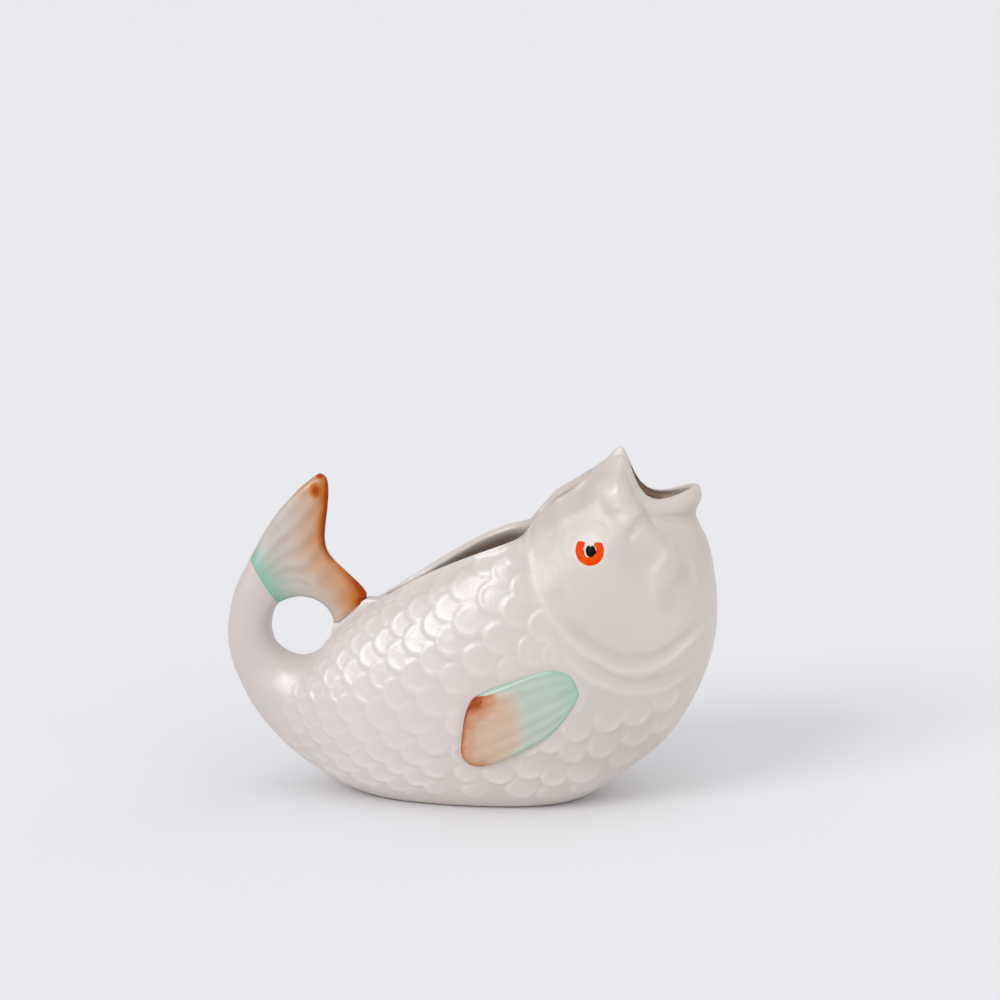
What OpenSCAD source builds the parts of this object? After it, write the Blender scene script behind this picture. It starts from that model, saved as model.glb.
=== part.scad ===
// Fish-shaped pouring jug in glazed earthenware.
// The head points along +X with the mouth turned up, the tail curls over into a finger ring.
// The origin is under the middle of the jug, on the surface that its flat foot stands on.

/* [Body] */
// Length of the jug, from the back of the tail ring to the throat
body_length = 200; // [175:1:225]
// Height of the jug, from the foot to the peak of the brow
body_height = 146.5; // [130:0.5:160]
// Width of the jug across the gills
body_width = 80; // [68:1:92]
// Thickness of the cast wall
wall = 3; // [2.2:0.1:3.6]
// How far the belly is ground away to make the flat foot
foot_cut = 6.5; // [5.5:0.1:7.5]
// Softening of the edge of the foot
foot_round = 1.6; // [1:0.1:2.2]

/* [Openings] */
// Width of the open back where it is widest
slot_width = 39; // [32:1:44]
// Height of the steep collar under the rim of the open back
collar = 8; // [6:0.5:10]
// Width of the mouth between its corners
mouth_width = 21.6; // [19:0.2:24]
// How far the corners of the mouth drop below the line from brow to lip
mouth_drop = 11.5; // [9:0.5:13]

/* [Tail] */
// Width of the round hole for the finger
finger_hole_width = 25.4; // [23:0.2:27]
// Depth of the tail stem, measured outward from the finger hole
stem_depth = 17.9; // [15.5:0.1:20]
// Thickness of the tail stem from side to side
stem_width = 17.6; // [15.6:0.2:20]
// Thickness of the fluke blade
fluke_thick = 8; // [6.5:0.1:9.5]
// Thickness of the rounded edge of the fluke
fluke_edge = 3; // [2:0.1:4]
// Height of the tip of the upper lobe above the middle of the finger hole
fluke_rise = 64; // [58:0.5:69]
// Reach of the lower lobe in front of the middle of the finger hole
fluke_reach = 26.6; // [25:0.1:28]
// Depth of the grooves between the rays of the fluke
fluke_groove = 0.5; // [0.2:0.1:0.8]
// Thickness of the slip pad that fixes the lower lobe to the back
pad_thick = 3.2; // [2.4:0.1:4]

/* [Fins] */
// Length of a side fin
fin_length = 54; // [46:0.5:58]
// Width of a side fin at its free end
fin_width = 29.5; // [25:0.5:32]
// How far the free end of a side fin stands out from the flank
fin_proud = 3.4; // [2.4:0.1:4.4]
// How far the root of a side fin stands out from the flank
fin_root = 0.8; // [0.6:0.1:1.4]
// Depth of the grooves between the rays of a side fin
fin_groove = 0.4; // [0.2:0.1:0.5]

/* [Eyes] */
// Diameter of the eye
eye_width = 17; // [15.4:0.2:18.4]
// How far the eye bulges from the cheek
eye_bulge = 1.4; // [1:0.1:2]
// Diameter of the coloured ring in the eye
iris_width = 11.6; // [11.2:0.2:12.4]
// Width of the coloured ring
iris_band = 3.2; // [2.8:0.1:3.3]
// Diameter of the pupil
pupil_width = 4.3; // [3.4:0.1:4.4]
// Thickness of the fired colour
enamel = 0.4; // [0.3:0.1:0.6]

/* [Hidden] */

// Film of slip left between pieces that are luted together
slip_gap = 0.1;

// The fish is drawn as 30 rings. Each ring spans a point on the back and a point on the belly
// in the middle plane, and the rings fan out round the finger hole and round the peak of the brow.
joint_ring = 4;
slot_first = 11;
slot_last = 23;
mouth_ring = 29;
// Rings between which the side fins and the eyes lie
flank_first = 5;
flank_last = 24;

// Steps between two drawn rings and steps down one side, for the outer and the inner skin
outer_steps = 3;
inner_steps = 2;
outer_count = 20;
inner_count = 12;

// Middle of the finger hole, as shares of the length and the height of the jug
hole_shares = [-0.347, 0.481];
hole = [hole_shares[0] * body_length, hole_shares[1] * body_height];

// Rings round the finger hole: angle of the inner point, and its share of the hole's radius
hole_angles = [139, 155, 175, 195, 216, 241, 267, 295, 325];
hole_radius_shares = [1.05, 1.05, 1.05, 1.08, 1.12, 1.11, 1.1, 1.03, 0.95];

// Rings of the stem: angle of the outer point, its share of the depth, and the width there
stem_angles = [127.5, 152, 176, 194, 210.5];
stem_depth_shares = [1.26, 1.06, 1.03, 1.1, 1.21];
stem_width_shares = [0.8, 0.91, 0.98, 1.02, 1.07];

// Back of the fish in front of the finger hole, as shares of length and height
back_shares = [
    [-0.262, 0.483], [-0.225, 0.525], [-0.18, 0.569], [-0.127, 0.616], [-0.066, 0.666],
    [0.006, 0.717], [0.068, 0.752], [0.1, 0.767], [0.117, 0.784], [0.131, 0.81],
    [0.152, 0.842], [0.174, 0.87], [0.203, 0.895], [0.227, 0.919], [0.242, 0.936],
    [0.262, 0.958], [0.276, 0.974], [0.286, 0.987], [0.294, 0.995], [0.301, 1],
    [0.307, 0.99]
];

// Belly of the fish in front of the stem, as shares of length and height
belly_shares = [
    [-0.478, 0.305], [-0.456, 0.246], [-0.42, 0.182], [-0.376, 0.123], [-0.328, 0.075],
    [-0.274, 0.03], [-0.207, 0.004], [-0.139, 0], [-0.07, 0], [0.01, 0],
    [0.09, 0], [0.156, 0], [0.217, 0.005], [0.275, 0.035], [0.34, 0.104],
    [0.4, 0.177], [0.449, 0.278], [0.48, 0.377], [0.496, 0.464], [0.5, 0.551],
    [0.494, 0.638], [0.48, 0.728], [0.453, 0.812], [0.463, 0.864], [0.457, 0.899]
];

// How deep the belly dips into the ground foot, as a share of the cut
foot_shares = [0, 0, 0, 0, 0, 0, 0.2, 0.6, 0.85, 1, 0.95, 0.7, 0.25, 0, 0, 0, 0, 0, 0, 0, 0, 0, 0, 0, 0];

// Half width of the rings in front of the stem, as shares of half the body width
width_shares = [
    0.265, 0.325, 0.412, 0.512, 0.613, 0.7, 0.787, 0.863, 0.925, 0.975, 1, 1, 0.988, 0.975, 0.963,
    0.95, 0.925, 0.9, 0.875, 0.825, 0.73, 0.56
];
// The same for the last rings, as shares of half the mouth width
muzzle_shares = [1.5, 1.2, 1];

// Half width of the open back from its first to its last ring, as shares of half its width
slot_shares = [0.24, 0.27, 0.56, 0.9, 1, 0.82, 0.49, 0.31, 0.44, 0.585, 0.49, 0.36, 0.28];

// How far each of the last rings drops at its middle, as a share of the mouth drop
drop_shares = [0, 0.2, 0.5, 0.75, 0.96, 1];

// Height of the widest place of a ring, as a share from back to belly, in the stem and the body
widest_shares = [0.5, 0.57];

// Roundness of a section above and below its widest place: 2 is an ellipse, 1 is straight
round_back = 2.1;
round_brow = 1.15;
round_belly = 2.2;
// Rings between which the section changes from the back's roundness to the brow's
brow_rings = [22, 26.5];

// ---- curves

// Smooth curve through a list of values at place u, which counts from the first value
function curve(list, u) =
    let(
        last = len(list) - 1,
        v = min(max(u, 0), last),
        i = min(floor(v), last - 1),
        f = v - i,
        a = list[max(i - 1, 0)],
        b = list[i],
        c = list[i + 1],
        d = list[min(i + 2, last)]
    )
    b + f / 2 * (c - a + f * (2 * a - 5 * b + 4 * c - d + f * (3 * (b - c) + d - a)));

// Value from 0 to 1 that eases in and out
function ease(x) = let(v = min(max(x, 0), 1)) v * v * (3 - 2 * v);

function polar(radius, angle) = radius * [cos(angle), sin(angle)];

// ---- rings

back = concat(
    [for (i = [0 : len(hole_angles) - 1])
        hole + polar(finger_hole_width / 2 * hole_radius_shares[i], hole_angles[i])],
    [for (share = back_shares) [share[0] * body_length, share[1] * body_height]]
);

belly = concat(
    [for (i = [0 : joint_ring])
        hole + polar(finger_hole_width / 2 + stem_depth * stem_depth_shares[i], stem_angles[i])],
    [for (i = [0 : len(belly_shares) - 1])
        [belly_shares[i][0] * body_length, belly_shares[i][1] * body_height - foot_cut * foot_shares[i]]]
);

half_widths = concat(
    [for (share = stem_width_shares) share * stem_width / 2],
    [for (share = width_shares) share * body_width / 2],
    [for (share = muzzle_shares) share * mouth_width / 2]
);

// Half width of the open back at a ring, with both ends rounded off
function end_round(distance) = sqrt(1 - pow(1 - min(max(distance, 0), 1), 2));
function slot_half(u) =
    u <= slot_first || u >= slot_last ? 0
    : slot_width / 2 * curve(slot_shares, u - slot_first) * end_round(u - slot_first) * end_round(slot_last - u);

function back_power(u) = round_back + (round_brow - round_back) * ease((u - brow_rings[0]) / (brow_rings[1] - brow_rings[0]));
function widest(u) = widest_shares[0] + (widest_shares[1] - widest_shares[0]) * ease((u - joint_ring) / joint_ring);
function drop(u) =
    let(first = mouth_ring - len(drop_shares) + 1)
    u <= first ? 0 : mouth_drop * curve(drop_shares, u - first);

// Height above the floor, rounded off where the surface comes down to it
function grounded(z, floor) =
    let(e = z - floor)
    e <= -foot_round ? floor
    : e >= foot_round ? z
    : floor + pow(e + foot_round, 2) / (4 * foot_round);

// Point of the right-hand skin on ring u, where t runs from the back to the belly.
// The depth is measured into the wall, so a negative depth lies outside the jug.
function skin(u, t, depth) =
    let(
        top = curve(back, u),
        span = norm(curve(belly, u) - top),
        down = (curve(belly, u) - top) / span,
        tailward = [down[1], -down[0]],
        half = curve(half_widths, u),
        power = back_power(u),
        opening = asin(pow(slot_half(u) / half, power / 2)),
        angle = opening + (180 - opening) * t,
        reach = span * widest(u),
        pinch = 1 + max(0, 2 - power) * reach / half,
        upper = reach / pow(cos(opening), 2 / power) - depth * pinch,
        lower = span - reach - depth,
        free = (half - depth) * pow(sin(angle), 2 / (angle < 90 ? power : round_belly)),
        along = angle < 90 ? -upper * pow(cos(angle), 2 / power) : lower * pow(-cos(angle), 2 / round_belly),
        // under the rim of the open back the skin stays at the width of the rim
        fall = along + upper * pow(cos(opening), 2 / power),
        held = ease(slot_half(u) / collar - 0.25) * (1 - ease(fall / collar)),
        y = free + (max(slot_half(u) - max(depth, 0), 0) - free) * held,
        share = min(max((reach + along) / span, 0), 1),
        p = top + down * (reach + along) + tailward * drop(u) * pow(sin(180 * share), 1.2)
    )
    [p[0], -y, grounded(p[1], max(depth, 0))];

// Ring that passes through a point of the side view, found by halving
function ring_through(p, low = flank_first, high = flank_last, tries = 16) =
    let(u = (low + high) / 2, top = curve(back, u))
    tries == 0 ? u
    : cross(curve(belly, u) - top, p - top) > 0 ? ring_through(p, u, high, tries - 1)
    : ring_through(p, low, u, tries - 1);

// Half width of the body at a point of the side view
function flank(p) =
    let(
        u = ring_through(p),
        top = curve(back, u),
        span = norm(curve(belly, u) - top),
        share = (p - top) * (curve(belly, u) - top) / span / span,
        half = curve(half_widths, u),
        power = back_power(u),
        closed = 1 - pow(slot_half(u) / half, power),
        m = widest(u)
    )
    share < m ? half * pow(1 - closed * pow(max(m - share, 0) / m, power), 1 / power)
    : half * pow(max(1 - pow((share - m) / (1 - m), round_belly), 0), 1 / round_belly);

// ---- shells

// All points of a skin: each ring goes down the right side and up the left side
function skin_points(rings, count, depth) = [
    for (u = rings) for (c = [0 : 2 * count])
        let(p = skin(u, min(c, 2 * count - c) / count, depth))
        [p[0], c > count ? -p[1] : p[1], p[2]]
];

// Number of a point of a skin; where the back is closed the last point of a ring is its first
function spot(rings, count, row, column, start) =
    let(open = rings[row] > slot_first && rings[row] < slot_last)
    start + row * (2 * count + 1) + (column == 2 * count && !open ? 0 : column);

function flip(faces) = [for (f = faces) [f[0], f[2], f[1]]];

function skin_faces(rings, count, start) = [
    for (row = [0 : len(rings) - 2]) for (column = [0 : 2 * count - 1])
        let(
            a = spot(rings, count, row, column, start),
            b = spot(rings, count, row + 1, column, start),
            c = spot(rings, count, row + 1, column + 1, start),
            d = spot(rings, count, row, column + 1, start)
        )
        each [[a, b, c], [a, c, d]]
];

// Strip of triangles between two edges with their own spacing; each edge has [place, point number]
function strip(one, two, i = 0, j = 0, done = []) =
    i == len(one) - 1 && j == len(two) - 1 ? done
    : j == len(two) - 1 || (i < len(one) - 1 && one[i + 1][0] <= two[j + 1][0])
        ? strip(one, two, i + 1, j, concat(done, [[one[i][1], two[j][1], one[i + 1][1]]]))
        : strip(one, two, i, j + 1, concat(done, [[one[i][1], two[j][1], two[j + 1][1]]]));

// Edge of a skin round one ring, and along one side of the open back
function ring_edge(rings, count, row, start) =
    [for (c = [0 : 2 * count]) [c / count, spot(rings, count, row, c, start)]];
function slot_edge(rings, count, column, start) =
    [for (row = [0 : len(rings) - 1])
        if (rings[row] >= slot_first && rings[row] <= slot_last)
            [rings[row], spot(rings, count, row, column, start)]];

// Flat end that closes one ring
function cap(rings, count, row, start) = [
    for (c = [0 : count - 1])
        let(
            a = spot(rings, count, row, c, start),
            b = spot(rings, count, row, c + 1, start),
            d = spot(rings, count, row, 2 * count - c, start),
            e = spot(rings, count, row, 2 * count - c - 1, start)
        )
        each concat(c == count - 1 ? [] : [[a, b, e]], c == 0 ? [] : [[a, e, d]])
];

function rings_between(first, last, steps) =
    [for (i = [round(first * steps) : round(last * steps)]) i / steps];

// ---- patches on the flank

// Point inside four edge curves, with a across and b along
function patch(root, tip, low, high, a, b) =
    (1 - b) * curve(root, a * (len(root) - 1)) + b * curve(tip, a * (len(tip) - 1))
    + (1 - a) * curve(low, b * (len(low) - 1)) + a * curve(high, b * (len(high) - 1))
    - (1 - a) * (1 - b) * root[0] - a * (1 - b) * root[len(root) - 1]
    - (1 - a) * b * tip[0] - a * b * tip[len(tip) - 1];

// Solid between two grids of points, of which the outer one is seen from the right
module slab(outer, inner) {
    rows = len(outer);
    columns = len(outer[0]);
    total = rows * columns;
    function at(row, column, layer) = layer * total + row * columns + column;
    rim = concat(
        [for (c = [0 : columns - 2]) [0, c]],
        [for (r = [0 : rows - 2]) [r, columns - 1]],
        [for (c = [columns - 1 : -1 : 1]) [rows - 1, c]],
        [for (r = [rows - 1 : -1 : 1]) [r, 0]]
    );
    polyhedron(
        points = concat([for (row = outer) each row], [for (row = inner) each row]),
        faces = concat(
            [for (r = [0 : rows - 2]) for (c = [0 : columns - 2])
                each [[at(r, c, 0), at(r + 1, c, 0), at(r + 1, c + 1, 0)],
                    [at(r, c, 0), at(r + 1, c + 1, 0), at(r, c + 1, 0)]]],
            [for (r = [0 : rows - 2]) for (c = [0 : columns - 2])
                each [[at(r, c, 1), at(r + 1, c + 1, 1), at(r + 1, c, 1)],
                    [at(r, c, 1), at(r, c + 1, 1), at(r + 1, c + 1, 1)]]],
            [for (k = [0 : len(rim) - 1])
                let(p = rim[k], q = rim[(k + 1) % len(rim)])
                each [[at(p[0], p[1], 0), at(q[0], q[1], 0), at(q[0], q[1], 1)],
                    [at(p[0], p[1], 0), at(q[0], q[1], 1), at(p[0], p[1], 1)]]]
        )
    );
}

// ---- body and stem

// Hollow body with the open back, the mouth and the round way into the stem
module body_casting() {
    outer = rings_between(joint_ring, mouth_ring, outer_steps);
    inner = rings_between(joint_ring, mouth_ring, inner_steps);
    start = len(outer) * (2 * outer_count + 1);
    outer_last = len(outer) - 1;
    inner_last = len(inner) - 1;
    color("#ddd3ce")
        polyhedron(
            points = concat(skin_points(outer, outer_count, 0), skin_points(inner, inner_count, wall)),
            faces = concat(
                skin_faces(outer, outer_count, 0),
                flip(skin_faces(inner, inner_count, start)),
                strip(slot_edge(outer, outer_count, 0, 0), slot_edge(inner, inner_count, 0, start)),
                flip(strip(slot_edge(outer, outer_count, 2 * outer_count, 0),
                    slot_edge(inner, inner_count, 2 * inner_count, start))),
                strip(ring_edge(outer, outer_count, outer_last, 0),
                    ring_edge(inner, inner_count, inner_last, start)),
                flip(strip(ring_edge(outer, outer_count, 0, 0), ring_edge(inner, inner_count, 0, start)))
            )
        );
}

// Hollow stem that curls up from the body and is closed where the fluke is luted on
module tail_stem() {
    outer = rings_between(0, joint_ring, outer_steps);
    inner = rings_between(0.5, joint_ring, inner_steps);
    start = len(outer) * (2 * outer_count + 1);
    color("#ddd3ce")
        polyhedron(
            points = concat(skin_points(outer, outer_count, 0), skin_points(inner, inner_count, wall)),
            faces = concat(
                skin_faces(outer, outer_count, 0),
                flip(skin_faces(inner, inner_count, start)),
                strip(ring_edge(outer, outer_count, len(outer) - 1, 0),
                    ring_edge(inner, inner_count, len(inner) - 1, start)),
                cap(outer, outer_count, 0, 0),
                flip(cap(inner, inner_count, 0, start))
            )
        );
}

// ---- fluke

// Edges of the fluke in the middle plane, as shares of its reach and its rise
upper_lobe_shares = [[-0.661, 0.548], [-0.44, 0.695], [-0.2, 0.815], [0, 0.9], [0.2, 0.966]];
margin_shares = [
    [0.285, 0.984], [0.382, 0.958], [0.41, 0.89], [0.4, 0.797], [0.365, 0.682], [0.335, 0.572],
    [0.345, 0.505], [0.425, 0.445], [0.58, 0.383], [0.77, 0.308], [0.92, 0.246], [0.985, 0.196]
];
// Angles of the arc of the finger hole that the fluke forms, and its shares of the hole's radius
arch_angles = [116, 89, 58, 29.5, 8.6];
arch_shares = [0.96, 0.91, 0.92, 0.955, 0.975];
// Rings of the back that the lower lobe lies along
seat_rings = [8.72, 9.2, 9.7, 10.25];
fluke_rows = 12;
fluke_rays = 7;

function fluke_point(share) = hole + [share[0] * fluke_reach, share[1] * fluke_rise];

// Point above the back by a given height, in the middle plane
function above_back(u, height) =
    let(along = curve(back, u + 0.1) - curve(back, u - 0.1))
    curve(back, u) + height * [-along[1], along[0]] / norm(along);

fluke_left = concat([belly[0]], [for (share = upper_lobe_shares) fluke_point(share)]);
fluke_right = concat(
    [back[0]],
    [for (i = [0 : len(arch_angles) - 1]) hole + polar(finger_hole_width / 2 * arch_shares[i], arch_angles[i])],
    [for (u = seat_rings) above_back(u, pad_thick)]
);
fluke_margin = concat(
    [fluke_left[len(fluke_left) - 1]],
    [for (share = margin_shares) fluke_point(share)],
    [fluke_right[len(fluke_right) - 1]]
);
fluke_root = [for (i = [0 : 4]) belly[0] + (back[0] - belly[0]) * i / 4];

// Half thickness of the fluke: the end of the stem at its root, then a blade with soft edges
function fluke_half(a, b) =
    let(
        root = half_widths[0] * pow(max(1 - pow(abs(2 * a - 1), 2), 0), 0.5),
        side = sqrt(1 - pow(1 - min(min(a, 1 - a) * 6, 1), 2)),
        end = sqrt(1 - pow(1 - min((1 - b) * 6, 1), 2)),
        blade = fluke_edge / 2 + (fluke_thick - fluke_edge) / 2 * side * end,
        groove = fluke_groove * pow(cos(180 * fluke_rays * a), 2) * side * end,
        blend = ease(b * 2.5)
    )
    max(root * (1 - blend) + (blade - groove) * blend, fluke_edge / 8);

// Forked blade with rays, standing on the end of the stem
module tail_fluke() {
    columns = 2 * fluke_rays;
    grid = [for (r = [0 : fluke_rows]) [for (c = [0 : columns])
        let(a = c / columns, b = r / fluke_rows, p = patch(fluke_root, fluke_margin, fluke_left, fluke_right, a, b))
        [p[0], fluke_half(a, b), p[1]]]];
    color("#cfae98")
        slab(
            [for (row = grid) [for (p = row) [p[0], -p[1], p[2]]]],
            grid
        );
}

// Pad of slip between the lower lobe and the back, which rises from the back in the finger hole
module tail_pad() {
    rows = 10;
    columns = 6;
    first = seat_rings[0] - 0.55;
    last = seat_rings[len(seat_rings) - 1] + 0.1;
    top_half = fluke_edge / 2;
    bottom_half = fluke_thick / 2;
    upper = [for (r = [0 : rows])
        let(
            u = first + (last - first) * r / rows,
            rise = ease((u - first) / (seat_rings[0] - first)),
            p = above_back(u, 2 * slip_gap + (pad_thick - 3 * slip_gap) * rise),
            half = bottom_half + (top_half - bottom_half) * rise
        )
        [for (c = [0 : columns]) [p[0], half * (2 * c / columns - 1), p[1]]]];
    lower = [for (r = [0 : rows])
        let(u = first + (last - first) * r / rows)
        [for (c = [0 : columns])
            let(
                y = bottom_half * (2 * c / columns - 1),
                angle = asin(pow(abs(y) / curve(half_widths, u), back_power(u) / 2)),
                p = skin(u, angle / 180, -slip_gap)
            )
            [p[0], y < 0 ? p[1] : -p[1], p[2]]]];
    color("#ddd3ce")
        slab(lower, upper);
}

// ---- side fins

// Root of a side fin on the flank, and the slope of the fin, from root to free end
fin_place_shares = [0.225, 0.383];
fin_slope = 204;
// Edges of a side fin, as shares of its length and its width
fin_start_shares = [[0.176, -0.32], [0.075, -0.2], [0.01, -0.08], [0, 0.06], [0.01, 0.2], [0.06, 0.31]];
fin_low_shares = [
    [0.176, -0.32], [0.27, -0.41], [0.36, -0.47], [0.44, -0.5], [0.54, -0.52], [0.7, -0.545],
    [0.81, -0.545], [0.9, -0.515]
];
fin_high_shares = [
    [0.06, 0.31], [0.12, 0.38], [0.21, 0.42], [0.33, 0.44], [0.46, 0.45], [0.58, 0.462], [0.66, 0.455]
];
fin_end_shares = [
    [0.9, -0.515], [0.965, -0.45], [1, -0.335], [0.99, -0.2], [0.94, -0.03], [0.86, 0.214],
    [0.79, 0.36], [0.73, 0.43], [0.66, 0.455]
];
fin_rows = 10;
fin_rays = 6;

// Point of the side view from a place on the fin
function fin_point(share) =
    let(x = share[0] * fin_length, z = -share[1] * fin_width)
    [fin_place_shares[0] * body_length + x * cos(fin_slope) - z * sin(fin_slope),
        fin_place_shares[1] * body_height + x * sin(fin_slope) + z * cos(fin_slope)];

// Fin that lies along the flank, with rays that run to its raised free end
module fin() {
    low = [for (share = fin_low_shares) fin_point(share)];
    high = [for (share = fin_high_shares) fin_point(share)];
    end = [for (share = fin_end_shares) fin_point(share)];
    root = [for (share = fin_start_shares) fin_point(share)];
    columns = 2 * fin_rays;
    places = [for (r = [0 : fin_rows]) [for (c = [0 : columns])
        let(p = patch(root, end, low, high, c / columns, r / fin_rows))
        [p[0], flank(p), p[1]]]];
    slab(
        [for (r = [0 : fin_rows]) [for (c = [0 : columns])
            let(
                a = c / columns,
                b = r / fin_rows,
                edge = sqrt(1 - pow(1 - min(min(a, 1 - a) * 6, 1), 2)) * sqrt(1 - pow(1 - min((1 - b) * 8, 1), 2)),
                proud = fin_root + (fin_proud - fin_root) * ease(b) * (0.4 + 0.6 * edge),
                groove = fin_groove * pow(cos(180 * fin_rays * a), 2) * edge,
                p = places[r][c]
            )
            [p[0], -p[1] - proud + groove, p[2]]]],
        [for (row = places) [for (p = row) [p[0], -p[1] - slip_gap, p[2]]]]
    );
}

module fin_right() {
    color("#a9d2c2") fin();
}

module fin_left() {
    color("#a9d2c2") mirror([0, 1, 0]) fin();
}

// ---- eyes

// Middle of the eye, as shares of the length and the height of the jug
eye_shares = [0.243, 0.7575];
eye_middle = [eye_shares[0] * body_length, eye_shares[1] * body_height];
// Gap left open at the top of the coloured ring
iris_open = 60;

// Surface of the eye above the cheek, at a distance from its middle
function eye_height(distance) =
    slip_gap + eye_bulge * sqrt(max(1 - pow(2 * distance / eye_width, 2), 0)) + eye_bulge / 4;
function eye_surface(p) = -flank(p) - eye_height(norm(p - eye_middle));

// Round patch of points, from rows and columns that run from -1 to 1
function round_place(radius, a, b) =
    eye_middle + radius * [a * sqrt(1 - b * b / 2), -b * sqrt(1 - a * a / 2)];

module eye() {
    steps = 6;
    places = [for (r = [0 : steps]) [for (c = [0 : steps])
        round_place(eye_width / 2, 2 * r / steps - 1, 2 * c / steps - 1)]];
    slab(
        [for (row = places) [for (p = row) [p[0], eye_surface(p), p[1]]]],
        [for (row = places) [for (p = row) [p[0], -flank(p) - slip_gap, p[1]]]]
    );
}

module iris() {
    steps = 20;
    places = [for (r = [0 : steps])
        let(angle = 90 + iris_open / 2 + (360 - iris_open) * r / steps)
        [for (c = [0, 1]) eye_middle + polar(iris_width / 2 - iris_band * (1 - c), angle)]];
    slab(
        [for (row = places) [for (p = row) [p[0], eye_surface(p) - slip_gap - enamel, p[1]]]],
        [for (row = places) [for (p = row) [p[0], eye_surface(p) - slip_gap, p[1]]]]
    );
}

module pupil() {
    steps = 4;
    places = [for (r = [0 : steps]) [for (c = [0 : steps])
        round_place(pupil_width / 2, 2 * r / steps - 1, 2 * c / steps - 1)]];
    slab(
        [for (row = places) [for (p = row) [p[0], eye_surface(p) - slip_gap - enamel, p[1]]]],
        [for (row = places) [for (p = row) [p[0], eye_surface(p) - slip_gap, p[1]]]]
    );
}

module eye_right() {
    color("#e6dedb") eye();
}

module eye_left() {
    color("#e6dedb") mirror([0, 1, 0]) eye();
}

module iris_right() {
    color("#ee5a1c") iris();
}

module iris_left() {
    color("#ee5a1c") mirror([0, 1, 0]) iris();
}

module pupil_right() {
    color("#17181c") pupil();
}

module pupil_left() {
    color("#17181c") mirror([0, 1, 0]) pupil();
}

body_casting();
tail_stem();
tail_fluke();
tail_pad();
fin_right();
fin_left();
eye_right();
eye_left();
iris_right();
iris_left();
pupil_right();
pupil_left();
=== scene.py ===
import math
import bpy
import bmesh
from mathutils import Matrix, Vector
from mathutils.kdtree import KDTree


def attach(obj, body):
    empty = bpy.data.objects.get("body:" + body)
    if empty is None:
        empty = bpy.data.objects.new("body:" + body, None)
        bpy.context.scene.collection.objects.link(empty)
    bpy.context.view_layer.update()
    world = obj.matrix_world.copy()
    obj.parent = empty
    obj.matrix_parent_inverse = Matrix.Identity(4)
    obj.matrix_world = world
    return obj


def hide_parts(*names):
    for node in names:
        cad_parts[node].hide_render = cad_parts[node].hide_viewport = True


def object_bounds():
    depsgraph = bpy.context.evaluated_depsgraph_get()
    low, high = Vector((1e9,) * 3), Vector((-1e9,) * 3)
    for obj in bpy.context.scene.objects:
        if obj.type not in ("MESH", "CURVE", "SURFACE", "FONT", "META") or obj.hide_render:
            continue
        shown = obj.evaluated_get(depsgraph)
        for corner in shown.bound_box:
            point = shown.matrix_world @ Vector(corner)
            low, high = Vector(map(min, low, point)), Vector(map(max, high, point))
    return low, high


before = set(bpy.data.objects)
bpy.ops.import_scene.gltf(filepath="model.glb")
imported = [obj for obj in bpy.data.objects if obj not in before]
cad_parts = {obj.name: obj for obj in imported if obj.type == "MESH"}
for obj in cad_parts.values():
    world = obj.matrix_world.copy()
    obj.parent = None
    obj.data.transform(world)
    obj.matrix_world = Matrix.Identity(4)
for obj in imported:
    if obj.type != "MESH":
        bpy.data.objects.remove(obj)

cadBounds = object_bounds()
mm = 0.001

# the shape that the pieces share, in millimetres, from the foot's middle

jug = dict(
    length=200, height=146.5, width=80, wall=3, footCut=6.5, footRound=1.6,
    slotWidth=39, mouthWidth=21.6, mouthDrop=11.5, dropPower=1.2,
    holeSize=25.4, stemDepth=17.9, stemWidth=17.6,
    # height of the steep collar under the rim of the open back, and the share where it sets in
    collar=8, collarShare=0.25,
    # rings: end of the stem, ends of the open back, first one that drops in its middle, mouth
    jointRing=4, slotFirst=11, slotLast=23, dropFirst=24, mouthRing=29,
    # widest place of a section, as a share of its height, and its gain past the stem
    widestShare=0.5, widestGain=0.07, widestRings=(4, 8),
    # roundness of a section, where 2 is an ellipse, and the rings where back turns to brow
    roundBack=2.1, roundBrow=1.15, roundBelly=2.2, browRings=(22, 26.5),
    # search for the ring at a point of the side view
    sideRings=(5, 24), halvings=13,
)


def sidePoint(share):
    # point of the side view, from its shares of the jug's length and height
    return Vector((share[0] * jug["length"], share[1] * jug["height"]))


hole = sidePoint((-0.347, 0.481))
holeAngles = [139, 155, 175, 195, 216, 241, 267, 295, 325]
holeShares = [1.05, 1.05, 1.05, 1.08, 1.12, 1.11, 1.1, 1.03, 0.95]
stemAngles = [127.5, 152, 176, 194, 210.5]
stemDepthShares = [1.26, 1.06, 1.03, 1.1, 1.21]
stemWidthShares = [0.8, 0.91, 0.98, 1.02, 1.07]
backShares = [
    (-0.262, 0.483), (-0.225, 0.525), (-0.18, 0.569), (-0.127, 0.616), (-0.066, 0.666),
    (0.006, 0.717), (0.068, 0.752), (0.1, 0.767), (0.117, 0.784), (0.131, 0.81),
    (0.152, 0.842), (0.174, 0.87), (0.203, 0.895), (0.227, 0.919), (0.242, 0.936),
    (0.262, 0.958), (0.276, 0.974), (0.286, 0.987), (0.294, 0.995), (0.301, 0.9997),
    (0.307, 0.99),
]
bellyShares = [
    (-0.478, 0.305), (-0.456, 0.246), (-0.42, 0.182), (-0.376, 0.123), (-0.328, 0.075),
    (-0.274, 0.03), (-0.207, 0.004), (-0.139, 0), (-0.07, 0), (0.01, 0),
    (0.09, 0), (0.156, 0), (0.217, 0.005), (0.275, 0.035), (0.34, 0.104),
    (0.4, 0.177), (0.449, 0.278), (0.48, 0.377), (0.496, 0.464), (0.5, 0.551),
    (0.494, 0.638), (0.48, 0.728), (0.453, 0.812), (0.463, 0.864), (0.457, 0.899),
]
footShares = [0, 0, 0, 0, 0, 0, 0.2, 0.6, 0.85, 1, 0.95, 0.7, 0.25] + [0] * 12
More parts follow.
